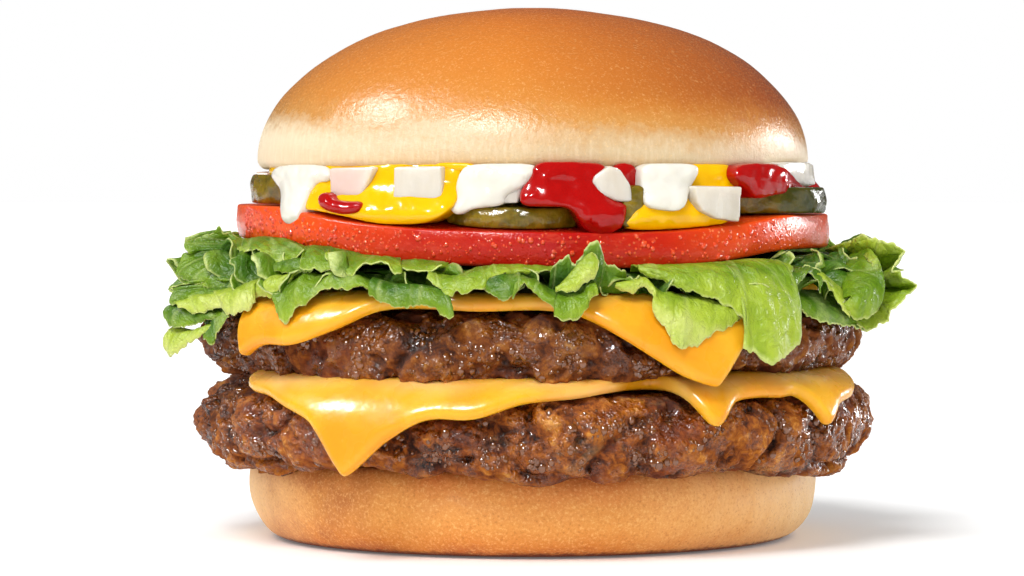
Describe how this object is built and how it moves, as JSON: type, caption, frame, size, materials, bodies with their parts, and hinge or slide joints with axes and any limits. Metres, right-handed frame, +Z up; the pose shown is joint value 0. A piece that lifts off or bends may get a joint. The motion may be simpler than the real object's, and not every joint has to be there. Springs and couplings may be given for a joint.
{
  "type": "double cheeseburger",
  "caption": "Cheeseburger with stacked beef patties, melted cheese, ruffled lettuce, tomato, pickles, diced onion and sauces in a round bun.",
  "frame": {"origin": "centre of the heel's flat base", "axes": "+Z up through the stack, front towards -Y, +X to the right of the front"},
  "size_m": [0.1349, 0.1281, 0.0917],
  "materials": {
    "crown_crust": "golden brown baked crust, paler at the lip, soft sheen",
    "heel_crust": "tan baked crust, matt",
    "beef": "coarse browned ground beef, moist",
    "cheese": "melted yellow-orange cheese, smooth and glossy",
    "lettuce": "light green leaf with paler margins, satin",
    "tomato": "red cut tomato with a glossy skin",
    "pickle": "wet olive green pickled cucumber",
    "onion": "translucent white onion",
    "mayonnaise": "thick off-white sauce, glossy",
    "mustard": "bright yellow sauce, glossy",
    "ketchup": "deep red sauce, glossy"
  },
  "bodies": {
    "root": {"heel": "heel_crust", "lower_patty": "beef", "lower_cheese": "cheese", "upper_patty": "beef", "upper_cheese": "cheese", "lettuce_lower_left": "lettuce", "lettuce_lower_front": "lettuce", "lettuce_lower_back": "lettuce", "lettuce_upper_left": "lettuce", "lettuce_upper_front": "lettuce", "lettuce_upper_right": "lettuce", "lettuce_upper_back": "lettuce", "tomato": "tomato", "pickle_left": "pickle", "pickle_front": "pickle", "pickle_piece": "pickle", "pickle_right": "pickle", "pickle_back_right": "pickle", "pickle_back_left": "pickle", "onion_1": "onion", "onion_2": "onion", "onion_3": "onion", "onion_4": "onion", "onion_5": "onion", "onion_6": "onion", "onion_7": "onion", "onion_8": "onion", "onion_9": "onion", "onion_10": "onion", "onion_11": "onion", "ketchup_left": "ketchup", "ketchup_front": "ketchup", "ketchup_right": "ketchup", "ketchup_side": "ketchup", "ketchup_back_left": "ketchup", "mayonnaise_left": "mayonnaise", "mayonnaise_front": "mayonnaise", "mayonnaise_right": "mayonnaise", "mayonnaise_back_right": "mayonnaise", "mayonnaise_back_left": "mayonnaise", "mustard_left": "mustard", "mustard_right": "mustard", "mustard_back_right": "mustard", "mustard_back_left": "mustard", "crown": "crown_crust"}
  },
  "joints": []
}
